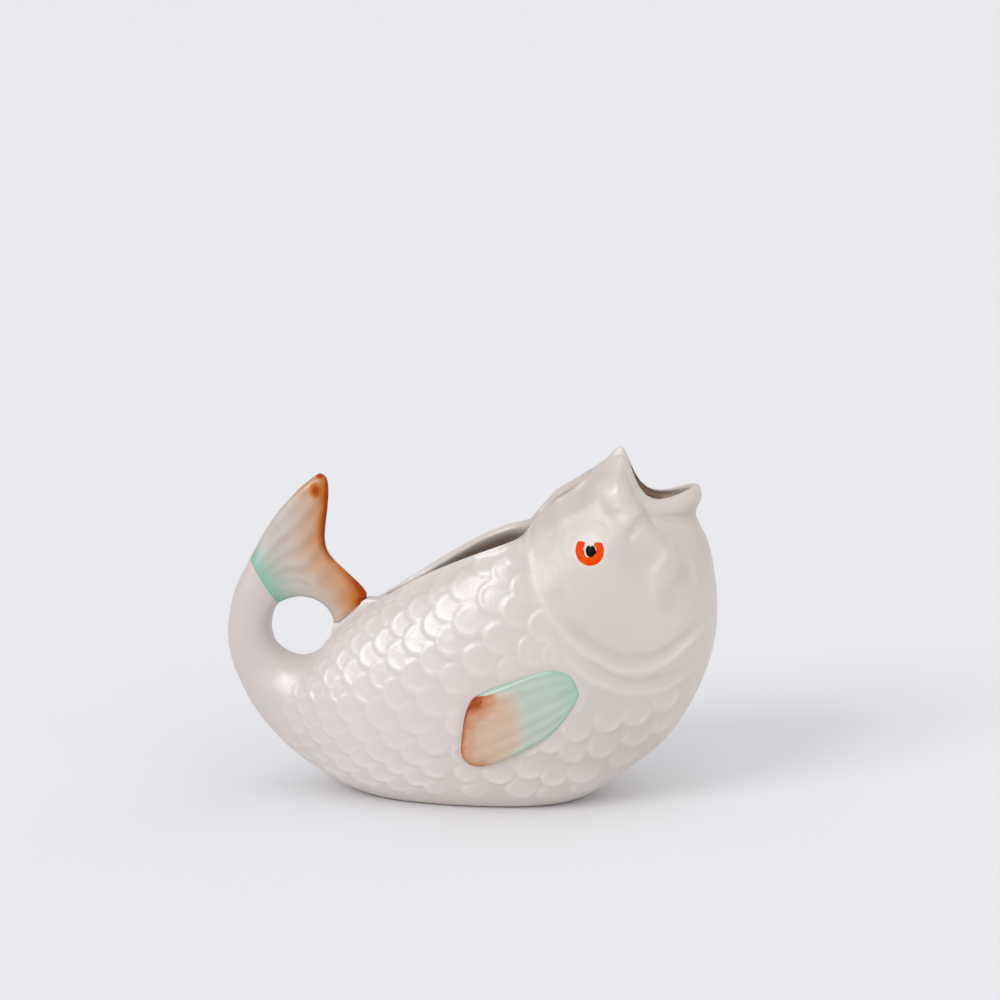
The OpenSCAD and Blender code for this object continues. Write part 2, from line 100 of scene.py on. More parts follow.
widthShares = [
    0.265, 0.325, 0.412, 0.512, 0.613, 0.7, 0.787, 0.863, 0.925, 0.975, 1, 1, 0.988, 0.975,
    0.963, 0.95, 0.925, 0.9, 0.875, 0.825, 0.73, 0.56,
]
muzzleShares = [1.5, 1.2, 1]
slotShares = [0.24, 0.27, 0.56, 0.9, 1, 0.82, 0.49, 0.31, 0.44, 0.585, 0.49, 0.36, 0.28]
dropShares = [0, 0.2, 0.5, 0.75, 0.96, 1]


def curve(points, u):
    # smooth curve through the points, where u counts from the first one
    last = len(points) - 1
    v = min(max(u, 0), last)
    i = min(int(v), last - 1)
    f = v - i
    a, b, c, d = points[max(i - 1, 0)], points[i], points[i + 1], points[min(i + 2, last)]
    return b + (c - a + (2 * a - 5 * b + 4 * c - d + (3 * (b - c) + d - a) * f) * f) * (f / 2)


def along(points, count):
    return [curve(points, (len(points) - 1) * i / count) for i in range(count + 1)]


def ease(x):
    v = min(max(x, 0), 1)
    return v * v * (3 - 2 * v)


def fade(x, low, high):
    return ease((x - low) / (high - low))


def polar(radius, angle):
    a = math.radians(angle)
    return Vector((radius * math.cos(a), radius * math.sin(a)))


back = [hole + polar(jug["holeSize"] / 2 * s, a) for s, a in zip(holeShares, holeAngles)]
back += [sidePoint(share) for share in backShares]
belly = [hole + polar(jug["holeSize"] / 2 + jug["stemDepth"] * s, a)
         for s, a in zip(stemDepthShares, stemAngles)]
belly += [sidePoint(share) - Vector((0, jug["footCut"] * f))
          for share, f in zip(bellyShares, footShares)]
halfWidths = [s * jug["stemWidth"] / 2 for s in stemWidthShares]
halfWidths += [s * jug["width"] / 2 for s in widthShares]
halfWidths += [s * jug["mouthWidth"] / 2 for s in muzzleShares]
ringCache = {}


def roundEdge(distance, radius=1):
    return math.sqrt(1 - (1 - min(max(distance / radius, 0), 1)) ** 2)


def ring(u):
    # top point, directions down and to the tail, height, half width, roundness, angle of the
    # opening, reach of the upper part, drop of the mouth, half width of the opening
    if u not in ringCache:
        top = curve(back, u)
        down = curve(belly, u) - top
        span = down.length
        down /= span
        half = curve(halfWidths, u)
        power = jug["roundBack"]
        power += (jug["roundBrow"] - jug["roundBack"]) * fade(u, *jug["browRings"])
        slot = drop = 0
        if jug["slotFirst"] < u < jug["slotLast"]:
            v, length = u - jug["slotFirst"], jug["slotLast"] - jug["slotFirst"]
            slot = jug["slotWidth"] / 2 * curve(slotShares, v)
            slot *= roundEdge(v) * roundEdge(length - v)
        opening = math.asin((slot / half) ** (power / 2))
        reach = span * (jug["widestShare"] + jug["widestGain"] * fade(u, *jug["widestRings"]))
        if u > jug["dropFirst"]:
            drop = jug["mouthDrop"] * curve(dropShares, u - jug["dropFirst"])
        tailward = Vector((down.y, -down.x))
        ringCache[u] = (top, down, tailward, span, half, power, opening, reach, drop, slot)
    return ringCache[u]


def grounded(z, floor):
    # height above the floor, rounded off where the skin comes down to it
    e = z - floor
    if e <= -jug["footRound"]:
        return floor
    if e >= jug["footRound"]:
        return z
    return floor + (e + jug["footRound"]) ** 2 / (4 * jug["footRound"])


def skin(u, t, depth=0):
    # right-hand skin on ring u, from the back at t 0 to the belly at t 1; depth goes into the wall
    top, down, tailward, span, half, power, opening, reach, drop, slot = ring(u)
    collar, lower = jug["collar"], 2 / jug["roundBelly"]
    angle = opening + (math.pi - opening) * t
    pinch = 1 + max(0, 2 - power) * reach / half
    sine, cosine = max(math.sin(angle), 0), math.cos(angle)
    if cosine > 0:
        y = (half - depth) * sine ** (2 / power)
        upper = reach / math.cos(opening) ** (2 / power) - depth * pinch
        along = -upper * cosine ** (2 / power)
        # under the rim of the open back the skin stays at the width of the rim
        fall = along + upper * math.cos(opening) ** (2 / power)
        held = ease(slot / collar - jug["collarShare"]) * (1 - ease(fall / collar))
        y += (max(slot - max(depth, 0), 0) - y) * held
    else:
        y = (half - depth) * sine ** lower
        along = (span - reach - depth) * (-cosine) ** lower
    share = min(max((reach + along) / span, 0), 1)
    dropped = drop * math.sin(math.pi * share) ** jug["dropPower"]
    p = top + down * (reach + along) + tailward * dropped
    return Vector((p.x, -y if t < 1 else 0, grounded(p.y, max(depth, 0))))


def flankPlace(p):
    # ring and t of the skin, and half width of the body, at a point of the side view
    low, high = jug["sideRings"]
    for i in range(jug["halvings"]):
        u = (low + high) / 2
        top = curve(back, u)
        side = (curve(belly, u) - top).cross(p - top)
        low, high = (u, high) if side > 0 else (low, u)
    u = (low + high) / 2
    top, down, _, span, half, power, opening, reach = ring(u)[:8]
    share = (p - top).dot(down) / span
    m = reach / span
    if share < m:
        cosine = math.cos(opening) * min(max(m - share, 0) / m, 1) ** (power / 2)
        width = half * (1 - cosine ** 2) ** (1 / power)
    else:
        cosine = -min((share - m) / (1 - m), 1) ** (jug["roundBelly"] / 2)
        width = half * (1 - cosine ** 2) ** (1 / jug["roundBelly"])
    return u, (math.acos(cosine) - opening) / (math.pi - opening), width


def patch(root, tip, low, high, a, b):
    # point inside four edge curves, with a across and b along
    return ((1 - b) * curve(root, a * (len(root) - 1)) + b * curve(tip, a * (len(tip) - 1))
            + (1 - a) * curve(low, b * (len(low) - 1)) + a * curve(high, b * (len(high) - 1))
            - (1 - a) * (1 - b) * root[0] - a * (1 - b) * root[-1]
            - (1 - a) * b * tip[0] - a * b * tip[-1])


# camera, light and floor

stage = dict(
    azimuth=4.5, elevation=15, distance=1.1, aim=(0, 0, 0.0707),
    lens=96.6, sensor=36, shift=(0.028, 0.126),
    worldColour=(0.88, 0.88, 0.9), worldStrength=0.71,
    sunStrength=1.0, sunFrom=(-0.54, -0.64, 0.55), sunSize=26,
    fillStrength=1.02, fillFrom=(0.8, -0.52, 0.38), fillSize=155,
    softboxFrom=(-0.95, -0.98, 1.31), softboxAim=(0, 0, 0.07), softboxSize=(1.04, 1.25),
    softboxPower=37, softboxColour=(0.87, 0.95, 1),
    floorColour=(0.835, 0.836, 0.862), floorRoughness=0.9, floorSpecular=0.1, floorRadius=14,
)


def aimAt(item, target):
    item.rotation_euler = (Vector(target) - item.location).to_track_quat("-Z", "Y").to_euler()


def addObject(name, data):
    made = bpy.data.objects.new(name, data)
    bpy.context.scene.collection.objects.link(made)
    return made


def setInputs(node, values):
    # a socket is joined to the input, any other value is written into it
    for name, value in values.items():
        if isinstance(value, bpy.types.NodeSocket):
            node.id_data.links.new(value, node.inputs[name])
        else:
            node.inputs[name].default_value = value


cameraData = bpy.data.cameras.new("camera")
cameraData.lens = stage["lens"]
cameraData.sensor_width = stage["sensor"]
cameraData.shift_x, cameraData.shift_y = stage["shift"]
camera = addObject("camera", cameraData)
azimuth, elevation = math.radians(stage["azimuth"]), math.radians(stage["elevation"])
camera.location = Vector(stage["aim"]) + stage["distance"] * Vector((
    math.sin(azimuth) * math.cos(elevation), -math.cos(azimuth) * math.cos(elevation),
    math.sin(elevation)))
aimAt(camera, stage["aim"])
bpy.context.scene.camera = camera
bpy.context.scene.view_settings.view_transform = "Standard"

world = bpy.data.worlds.new("paleRoom")
world.use_nodes = True
setInputs(world.node_tree.nodes["Background"],
          {"Color": (*stage["worldColour"], 1), "Strength": stage["worldStrength"]})
bpy.context.scene.world = world


def addSun(name, strength, direction, size):
    data = bpy.data.lights.new(name, "SUN")
    data.energy, data.angle = strength, math.radians(size)
    made = addObject(name, data)
    made.location = direction
    aimAt(made, (0, 0, 0))
    made.visible_glossy = False


addSun("windowLight", stage["sunStrength"], stage["sunFrom"], stage["sunSize"])
addSun("roomLight", stage["fillStrength"], stage["fillFrom"], stage["fillSize"])

# the window's reflection in the glaze, which adds no other light
boxData = bpy.data.lights.new("windowGloss", "AREA")
boxData.shape = "RECTANGLE"
boxData.size, boxData.size_y = stage["softboxSize"]
boxData.energy, boxData.color = stage["softboxPower"], stage["softboxColour"]
box = addObject("windowGloss", boxData)
box.location = stage["softboxFrom"]
aimAt(box, stage["softboxAim"])
box.visible_diffuse = False
print("camera and lights placed")

# short ways to add shader nodes and join them


class Nodes:
    def __init__(self, tree):
        self.tree = tree

    def add(self, kind, inputs=None, **settings):
        made = self.tree.nodes.new("ShaderNode" + kind)
        for name, value in settings.items():
            setattr(made, name, value)
        setInputs(made, inputs or {})
        return made

    def math(self, operation, a, b):
        return self.add("Math", {0: a, 1: b}, operation=operation).outputs[0]

    def times(self, a, b):
        return self.math("MULTIPLY", a, b)

    def plus(self, a, b):
        return self.math("ADD", a, b)

    def span(self, value, low, high, toLow=0.0, toHigh=1.0):
        return self.add("MapRange", {
            "Value": value, "From Min": low, "From Max": high, "To Min": toLow, "To Max": toHigh,
        }, interpolation_type="SMOOTHSTEP").outputs["Result"]

    def noise(self, place, scale, detail, roughness=0.5):
        return self.add("TexNoise", {"Vector": place, "Scale": scale, "Detail": detail,
                                     "Roughness": roughness}).outputs["Fac"]

    def mix(self, factor, one, two):
        # sockets 0, 6 and 7 of a colour mix are its factor and its two colours
        one, two = [c if isinstance(c, bpy.types.NodeSocket) else (*c, 1) for c in (one, two)]
        return self.add("Mix", {0: factor, 6: one, 7: two}, data_type="RGBA").outputs[2]


def newMaterial(name):
    made = bpy.data.materials.new(name)
    made.use_nodes = True
    made.node_tree.nodes.clear()
    n = Nodes(made.node_tree)
    surface = n.add("BsdfPrincipled")
    n.add("OutputMaterial", {"Surface": surface.outputs["BSDF"]})
    return made, n, surface


# group with the soft unevenness that every glazed surface has
filmLook = dict(
    cloudScale=42.0, grainScale=1400.0, grainShare=0.1, swellScale=160.0, swellDepth=0.00022,
    pitScale=240.0, pitSize=(0.035, 0.07), pitChance=(0.86, 0.9), pitDepth=0.12,
)
film = bpy.data.node_groups.new("glazeFilm", "ShaderNodeTree")
film.interface.new_socket("Waviness", in_out="INPUT", socket_type="NodeSocketFloat")
for name, kind in (("Speck", "Float"), ("Sheen", "Float"), ("Normal", "Vector")):
    film.interface.new_socket(name, in_out="OUTPUT", socket_type="NodeSocket" + kind)
f = Nodes(film)
filmIn, filmOut = film.nodes.new("NodeGroupInput"), film.nodes.new("NodeGroupOutput")
place = f.add("TexCoord").outputs["Object"]
cloud = f.noise(place, filmLook["cloudScale"], 3.0, 0.55)
grain = f.noise(place, filmLook["grainScale"], 2.0, 0.6)
swell = f.noise(place, filmLook["swellScale"], 2.0, 0.45)
pits = f.add("TexVoronoi", {"Vector": place, "Scale": filmLook["pitScale"]})
speck = f.span(pits.outputs["Distance"], *filmLook["pitSize"], 1.0, 0.0)
chosen = f.span(pits.outputs["Color"], *filmLook["pitChance"])
cloud = f.times(cloud, 1 - filmLook["grainShare"])
pitted = f.times(speck, f.times(chosen, filmLook["pitDepth"]))
bump = f.add("Bump", {
    "Strength": filmIn.outputs["Waviness"], "Distance": filmLook["swellDepth"],
    "Height": f.math("SUBTRACT", swell, pitted),
})
setInputs(filmOut, {
    "Speck": f.times(speck, chosen), "Normal": bump.outputs["Normal"],
    "Sheen": f.plus(cloud, f.times(grain, filmLook["grainShare"])),
})

glaze = dict(
    # hollow is darker where the glaze pools in the hollows and where their shade is painted
    crest=(0.685, 0.62, 0.593), hollow=(0.515, 0.435, 0.39), warm=(0.64, 0.585, 0.52),
    # low and throat are lighter tones, painted light from the floor and from the room on the right
    low=(0.74, 0.685, 0.64), throat=(0.735, 0.685, 0.615), tail=(0.63, 0.56, 0.535),
    # rim is a yellower tone along the rims and the lip; at the lip it is lighter than the glaze
    # round it, a painted highlight
    rim=(0.66, 0.615, 0.53), clay=(0.60, 0.50, 0.42), iron=(0.16, 0.10, 0.07),
    # inside is painted shade on the inner wall under the rims; the colour after it is painted light
    # further inside
    inside=(0.60, 0.525, 0.48), deep=(0.95, 0.78, 0.63), white=(0.80, 0.755, 0.715),
    napeShade=0.4, hollowShade=0.5, rimTintAndHighlight=0.4, ironShade=0.7,
    roughness=(0.31, 0.41), sheenSpread=(0.3, 0.7), bareRoughness=0.5, headRoughness=0.06,
    ior=1.5, specular=0.5, headSpecular=0.24, coat=0.12, coatRoughness=0.24,
    bodyWaviness=2.0, paintWaviness=0.6, enamelWaviness=0.5,
)
# where a change of the pale glaze begins and ends along X or Z, in metres; relief in millimetres
zones = dict(
    cloudScale=18.0, cloudDrift=0.05, headX=(-0.02, 0.12), tailX=(-0.02, -0.055),
    throatX=(0.055, 0.1), throatZ=(0.11, 0.08), napeRearX=(0.015, 0.028), napeFrontX=(0.052, 0.044),
    napeZ=(0.108, 0.118), lowZ=(0.03, 0.008), relief=(0.45, -0.4), bareZ=(0.0009, 0.0004),
    satinX=(0.019, 0.031), satinZ=(0.134, 0.129),
)


def glazed(surface, n, colour, waviness, rougher=0.0):
    # finish of the surface shared by all glazed places
    made = n.add("Group", {"Waviness": waviness}, node_tree=film)
    iron = n.times(made.outputs["Speck"], glaze["ironShade"])
    rough = n.span(made.outputs["Sheen"], *glaze["sheenSpread"], *glaze["roughness"])
    setInputs(surface, {
        "Base Color": n.mix(iron, colour, glaze["iron"]), "Roughness": n.plus(rough, rougher),
        "Normal": made.outputs["Normal"], "IOR": glaze["ior"], "Coat Weight": glaze["coat"],
        "Coat Roughness": glaze["coatRoughness"],
    })


def attribute(n, name):
    return n.add("Attribute", attribute_name=name).outputs["Fac"]


def paleColour(n, place, x, z):
    # pale glaze, thin on the crests, darker in the hollows where the glaze pools and painted shade
    # lies, warmer towards the head
    cloud = n.noise(place, zones["cloudScale"], 3.0)
    drift = n.plus(x, n.times(cloud, zones["cloudDrift"]))
    base = n.mix(n.span(drift, *zones["headX"]), glaze["crest"], glaze["warm"])
    # painted shade: darker towards the tail
    base = n.mix(n.span(drift, *zones["tailX"]), base, glaze["tail"])
    # painted light: lighter on the throat
    throat = n.times(n.span(x, *zones["throatX"]), n.span(z, *zones["throatZ"]))
    base = n.mix(throat, base, glaze["throat"])
    # painted shade at the nape, where the head rises from the back
    nape = n.times(n.span(x, *zones["napeRearX"]), n.span(x, *zones["napeFrontX"]))
    nape = n.times(nape, n.span(z, *zones["napeZ"], 0.0, glaze["napeShade"]))
    base = n.mix(nape, base, glaze["hollow"])
    # painted light: lighter near the floor
    base = n.mix(n.span(z, *zones["lowZ"]), base, glaze["low"])
    # darker where the relief sinks: glaze that pools there, and painted shade
    pooledAndShaded = n.span(attribute(n, "relief"), *zones["relief"], 0.0, glaze["hollowShade"])
    base = n.mix(pooledAndShaded, base, glaze["hollow"])
    # painted shade on the inner wall under the rims, then painted light further inside
    inside = attribute(n, "inside")
    base = n.mix(n.span(inside, 0, 1), base, glaze["inside"])
    base = n.mix(n.span(inside, 1, 2), base, glaze["deep"])
    # painted highlight: a yellower line along the rims and the lip, lighter at the lip
    base = n.mix(n.times(attribute(n, "warm"), glaze["rimTintAndHighlight"]), base, glaze["rim"])
    return n.mix(attribute(n, "cool"), base, glaze["white"])


paleGlaze, n, surface = newMaterial("paleGlaze")
place = n.add("TexCoord").outputs["Object"]
split = n.add("SeparateXYZ", {"Vector": place})
x, z = split.outputs["X"], split.outputs["Z"]
bare = n.span(z, *zones["bareZ"])
head = n.times(n.span(x, *zones["satinX"]), n.span(z, *zones["satinZ"]))
satin = n.plus(n.times(bare, glaze["bareRoughness"]), n.times(head, glaze["headRoughness"]))
colour = n.mix(bare, paleColour(n, place, x, z), glaze["clay"])
glazed(surface, n, colour, glaze["bodyWaviness"], satin)
gloss = n.span(head, 0, 1, glaze["specular"], glaze["headSpecular"])
setInputs(surface, {"Specular IOR Level": gloss})

# pieces from meshes


def finishPiece(bm, name, node, material, sharpAngle=50):
    # one object from a mesh, with its edges sharp where they turn by more than the angle
    mesh = bpy.data.meshes.new(name)
    bmesh.ops.recalc_face_normals(bm, faces=bm.faces)
    if bm.calc_volume(signed=True) < 0:
        bmesh.ops.reverse_faces(bm, faces=bm.faces)
    for face in bm.faces:
        face.smooth = True
    for edge in bm.edges:
        edge.smooth = edge.calc_face_angle(0) < math.radians(sharpAngle)
    bm.to_mesh(mesh)
    bm.free()
    mesh.materials.append(material)
    piece = addObject(name, mesh)
    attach(piece, "root")
    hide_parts(node)
    print(name, len(mesh.polygons), "faces")


def grid(rows, columns):
    # flat grid whose vertices are given with their row and column
    bm = bmesh.new()
    bm.loops.layers.uv.new("UVMap")
    for name in ("relief", "inside", "cool", "warm", "dark"):
        bm.verts.layers.float.new(name)
    bmesh.ops.create_grid(bm, x_segments=rows, y_segments=columns, size=1, calc_uvs=True)
    places = [(v, round((v.co.x + 1) / 2 * rows), round((v.co.y + 1) / 2 * columns))
              for v in bm.verts]
    return bm, places


def slab(rows, columns):
    # grid with a second one on top; its vertices are given with their shares and whether on top
    bm = grid(rows, columns)[0]
    top = set(bmesh.ops.extrude_face_region(bm, geom=bm.faces[:])["geom"])
    return bm, [(v, (v.co.x + 1) / 2, (v.co.y + 1) / 2, v in top) for v in bm.verts]


def layers(bm, *names):
    return [bm.verts.layers.float[name] for name in names]


def relax(bm, verts, passes=1):
    for i in range(passes):
        bmesh.ops.smooth_vert(bm, verts=verts, factor=0.5, use_axis_x=True, use_axis_y=True,
                              use_axis_z=True)


# reach of the weld across the middle plane, within it, and what counts as lying on it, in metres
mirrorWeld, seamWeld, onPlane = 1e-6, 2e-7, 1e-8


def openEdges(bm):
    return [e for e in bm.edges if e.is_boundary]


def mirrored(bm):
    # the left half, welded to the right half in the middle plane
    geometry = bm.verts[:] + bm.edges[:] + bm.faces[:]
    bmesh.ops.mirror(bm, geom=geometry, axis="Y", merge_dist=mirrorWeld)
    bmesh.ops.remove_doubles(bm, verts=bm.verts, dist=seamWeld)


def flattened(bm):
    # what lies next to the middle plane is put on it
    for v in bm.verts:
        if abs(v.co.y) < onPlane:
            v.co.y = 0


def glow(distance, strength, reach, power=2):
    # strength that dies away with the distance
    return strength * math.exp(-(distance / reach) ** power)


# relief of the body: scales, gill arcs and the folds of the head

# the values of a scale are in millimetres or shares of its reach
scale = dict(
    lift=1.0, firstRow=13.1, rowStep=0.57, rows=12, middle=0.395, pitch=0.095, growth=0.0025,
    between=(-0.02, 0.84), most=5, pitches=(9, 16), nearGills=46, gillPitch=14.5,
    along=0.45, across=0.455, tail=1.7, radius=1.06, skirt=-0.9, skirtWidth=2.0, plate=0.55,
    bead=0.45, beadPlace=1.25, beadWidth=1.2, ground=0.24, sunk=0.3, joining=0.1,
    tilt=0.45, tiltGain=0.4, tiltRings=(8, 12.5), search=13,
    firstRings=(6.3, 8.2), gillGap=0.3, lowest=(0.76, 0.88), rimFade=(0, 0.05), floorFade=(3, 12),
    headCentre=(0.345, 0.614),
)
# scales next to the gills, row by row, as places on the skin
gillRows = [
    [(16.1, 0.07), (16.54, 0.19), (17.42, 0.32), (17.88, 0.4), (17.8, 0.48), (17.85, 0.56),
     (18.9, 0.59), (19.8, 0.63), (20.7, 0.69)],
    [(15.2, 0.09), (15.76, 0.21), (16.5, 0.33), (16.7, 0.43), (16.7, 0.53), (17.5, 0.615),
     (18.5, 0.66), (19.5, 0.705), (20.3, 0.76)],
    [(14.5, 0.05), (14.7, 0.15), (14.92, 0.25), (15.42, 0.33), (15.7, 0.42), (15.8, 0.5),
     (15.75, 0.59), (16.6, 0.66), (17.7, 0.71), (18.9, 0.76)],
    [(13.8, 0.1), (14.0, 0.2), (14.3, 0.29), (14.65, 0.38), (14.8, 0.475), (14.75, 0.58),
     (15.4, 0.67), (16.4, 0.74), (17.6, 0.79)],
    [(13.3, 0.07), (13.4, 0.16), (13.5, 0.25), (13.68, 0.335), (13.85, 0.425), (13.9, 0.51),
     (13.9, 0.59), (14.1, 0.67), (14.6, 0.745)],
]
# ring where the scales end at the gills, for t in steps of a tenth
gillEdge = [17.2, 17.4, 17.6, 17.95, 18.0, 19.1, 20.3, 21.25, 22.2, 23, 23.5]
# raised and sunken lines of the head: places on the skin, half width and height
strokes = [
    ([(17.2, 0.16), (17.5, 0.25), (17.9, 0.32), (18.45, 0.38), (18.9, 0.42), (19.5, 0.455),
      (20.2, 0.51), (20.8, 0.565), (21.55, 0.62), (22.45, 0.68), (23.1, 0.74), (23.9, 0.84)],
     1.15, 0.7),
    ([(18.15, 0.298), (18.7, 0.358), (19.2, 0.398), (19.75, 0.433), (20.45, 0.488),
      (21.05, 0.543), (21.8, 0.598), (22.7, 0.658), (23.35, 0.718)], 1.6, -0.5),
    ([(17.9, 0.39), (18.3, 0.425), (18.6, 0.455), (19.1, 0.49), (19.6, 0.53), (20.15, 0.58),
      (20.75, 0.65), (21.35, 0.705), (22.1, 0.78)], 1.15, 0.55),
    ([(18.7, 0.42), (19.3, 0.458), (19.9, 0.51), (20.5, 0.57), (21.15, 0.635), (21.8, 0.7)],
     1.2, -0.3),
    ([(19.45, 0.14), (20.0, 0.13), (20.65, 0.142), (21.25, 0.172), (21.8, 0.22), (22.0, 0.27)],
     1.6, -0.28),
    ([(27.2, 0.43), (26.2, 0.385), (25.1, 0.342), (24.3, 0.333), (23.7, 0.335), (23.3, 0.338),
      (22.8, 0.345)], 1.45, -1.35),
    ([(26.6, 0.32), (25.7, 0.315), (24.9, 0.303), (24.1, 0.302), (23.5, 0.308), (23.05, 0.3)],
     1.6, 0.3),
    ([(24.35, 0.272), (23.9, 0.285), (23.5, 0.298)], 3.0, 0.2),
    ([(28.2, 0.17), (27.3, 0.17), (26.4, 0.172), (25.6, 0.18), (24.8, 0.2), (24.0, 0.24)],
     2.3, 1.5),
    ([(26.8, 0.5), (26.95, 0.6), (27.0, 0.7), (27.05, 0.8), (27.1, 0.9), (27.1, 1)], 1.6, -0.9),
    ([(25.8, 0.585), (25.2, 0.54), (24.5, 0.5), (23.9, 0.476), (23.3, 0.468), (22.85, 0.462),
      (22.2, 0.46)], 1.9, 0.85),
    ([(25.1, 0.63), (24.55, 0.6), (23.6, 0.555), (22.8, 0.53), (22.2, 0.52)], 2.6, -0.5),
    ([(25.6, 0.67), (25.05, 0.685), (24.5, 0.7)], 1.5, 0.3),
]
# bumps and dents of the head: place on the skin, radius and height
bumps = [
    (24.3, 0.2, 4.4, 0.6), (23.2, 0.24, 3.2, -0.7), (23.5, 0.095, 3.4, -0.5),
    (26.4, 0.53, 2.6, 0.6), (18.5, 0.285, 3.0, -0.35), (18.95, 0.37, 3.0, -0.3),
    (18.0, 0.09, 6.5, 1.8), (19.8, 0.07, 6.5, 0.9), (22.6, 0.36, 7.0, -0.4),
    (26.3, 0.0, 3.4, 0.2), (24.2, 0.0, 3.0, -0.2),
]
# rings where the scales end and the lines begin, reach of a line in widths and of a bump in
# radii, share of a line that fades at its ends, and the bare strip round the side fin
relief = dict(lastScale=22.5, firstLine=16, lineReach=2.4, bumpReach=2.2, lineEnds=(-0.02, 0.22),
              lineSteps=14, finStrip=(1.0, 2.6))

# outline of a side fin, as shares of its length and width
fin = dict(
    length=54, width=29.5, place=(0.225, 0.383), slope=204, proud=3.1, root=0.7, ribs=6,
    groove=0.35, rows=84, columns=130, sink=1.2, corner=(0.72, 0.4), edgeRound=0.9, edgeGain=1.1,
    pillow=4.5, edgeShare=0.45, outlineSteps=160,
)
finRoot = [(0.176, -0.32), (0.075, -0.2), (0.01, -0.08), (0, 0.06), (0.01, 0.2), (0.06, 0.31)]
finLow = [(0.176, -0.32), (0.27, -0.41), (0.36, -0.47), (0.44, -0.5), (0.54, -0.52), (0.7, -0.545),
          (0.81, -0.545), (0.9, -0.515)]
finHigh = [(0.06, 0.31), (0.12, 0.38), (0.21, 0.42), (0.33, 0.44), (0.46, 0.45), (0.58, 0.462),
           (0.66, 0.455)]
finEnd = [(0.9, -0.515), (0.965, -0.45), (1, -0.335), (0.99, -0.2), (0.94, -0.03), (0.86, 0.214),
          (0.79, 0.36), (0.73, 0.43), (0.66, 0.455)]


def finPoint(share):
    x, z = share[0] * fin["length"], -share[1] * fin["width"]
    a = math.radians(fin["slope"])
    turned = Vector((x * math.cos(a) - z * math.sin(a), x * math.sin(a) + z * math.cos(a)))
    return sidePoint(fin["place"]) + turned


finEdges = [[finPoint(s) for s in edge] for edge in (finRoot, finEnd, finLow, finHigh)]


def finPlace(a, b):
    return patch(*finEdges, a, b)


def treeOf(points):
    made = KDTree(len(points))
    for i, p in enumerate(points):
        made.insert(p, i)
    made.balance()
    return made


def flatTree(points):
    return treeOf([(p.x, p.y, 0) for p in points])


def nearest(tree, p):
    return tree.find((p.x, p.y, 0))[1:]


finTree = flatTree([finPlace(i / 24, j / 40) for i in range(25) for j in range(41)])
strokeTrees = []
for line, width, rise in strokes:
    points = [Vector(p) for p in line]
    count = relief["lineSteps"] * (len(points) - 1)
    tree = treeOf([skin(p.x, p.y) for p in along(points, count)])
    strokeTrees.append((tree, width, rise, count))
bumpPlaces = [(skin(u, t), radius, rise) for u, t, radius, rise in bumps]

# every scale: middle, direction of its free edge, direction across, reach along and across
scales = []
rows = [[Vector(p) for p in row] for row in gillRows]
for i in range(scale["rows"]):
    u, pitch = scale["firstRow"] - scale["rowStep"] * i, scale["pitch"] + scale["growth"] * i
    middle = scale["middle"] + (pitch / 2 if i % 2 else 0)
    places = [middle + pitch * j for j in range(-scale["most"], scale["most"] + 1)]
    rows.append([Vector((u, t)) for t in places if scale["between"][0] < t < scale["between"][1]])
headCentre = sidePoint(scale["headCentre"])
for row in rows:
    for j, place in enumerate(row):
        u, t = place.x, max(place.y, 0.0)
        middle = skin(u, t)
        alongBack = skin(u + 0.05, t) - skin(u - 0.05, t)
        downFlank = skin(u, t + 0.01) - skin(u, max(t - 0.01, 0))
        normal = alongBack.cross(downFlank).normalized()
        facing = Vector((middle.x - headCentre.x, 0, middle.z - headCentre.y))
        facing -= facing.dot(normal) * normal
        facing.normalize()
        near = [row[k] for k in (j - 1, j + 1) if 0 <= k < len(row)]
        pitch = sum((skin(q.x, max(q.y, 0)) - middle).length for q in near) / len(near)
        pitch = min(max(pitch, scale["pitches"][0]), scale["pitches"][1])
        if len(scales) < scale["nearGills"]:
            pitch = min(pitch, scale["gillPitch"])
        scales.append((middle, facing, normal.cross(facing), scale["along"] * pitch,
                       scale["across"] * pitch))
scaleTree = treeOf([s[0] for s in scales])
print("scales on one side:", len(scales))


def scaleHeight(p, u, t):
    # each scale is a plate with a soft bead along its free edge; the highest one shows
    k = scale
    best, flat = k["ground"], k["tilt"] + k["tiltGain"] * (1 - fade(u, *k["tiltRings"]))
    for co, index, distance in scaleTree.find_range(p, k["search"]):
        middle, facing, across, along, wide = scales[index]
        d = p - middle
        forward, side = d.dot(facing) / along, d.dot(across) / wide
        if forward < 0:
            forward /= k["tail"]
        inner = (k["radius"] - math.sqrt(forward * forward + side * side)) * wide
        if inner > k["skirt"]:
            plate = k["plate"] * fade(inner, k["skirt"], k["skirt"] + k["skirtWidth"])
            plate *= flat + (1 - flat) * fade(forward, -1, 0.7)
            bead = glow(inner - k["beadPlace"], k["bead"], k["beadWidth"])
            bead *= fade(forward, -0.5, 0.5)
            height, joining = plate + bead, k["joining"]
            join = max(joining - abs(best - height), 0) ** 2 / (4 * joining)
            best = max(best, height) + join
    mask = fade(u, *k["firstRings"]) * fade(curve(gillEdge, t * 10) - u, 0.0, k["gillGap"])
    mask *= 1 - fade(t, *k["lowest"])
    if jug["slotFirst"] < u < jug["slotLast"]:
        mask *= fade(t, *k["rimFade"])
    return (best - k["sunk"]) * mask * fade(p.z, *k["floorFade"]) * k["lift"]


def reliefAt(u, t):
    k = relief
    p = skin(u, t)
    total = scaleHeight(p, u, t) if u < k["lastScale"] else 0
    if u > k["firstLine"]:
        for tree, width, rise, count in strokeTrees:
            co, index, distance = tree.find(p)
            if distance < width * k["lineReach"]:
                ends = fade(min(index, count - index) / count, *k["lineEnds"])
                total += glow(distance, rise * ends, width)
        open = fade(t, *scale["rimFade"]) if u < jug["slotLast"] else 1
        for middle, radius, rise in bumpPlaces:
            distance = (p - middle).length
            if distance < radius * k["bumpReach"]:
                total += glow(distance, rise * open, radius)
    return total * fade(finTree.find((p.x, p.z, 0))[2], *k["finStrip"])


# body

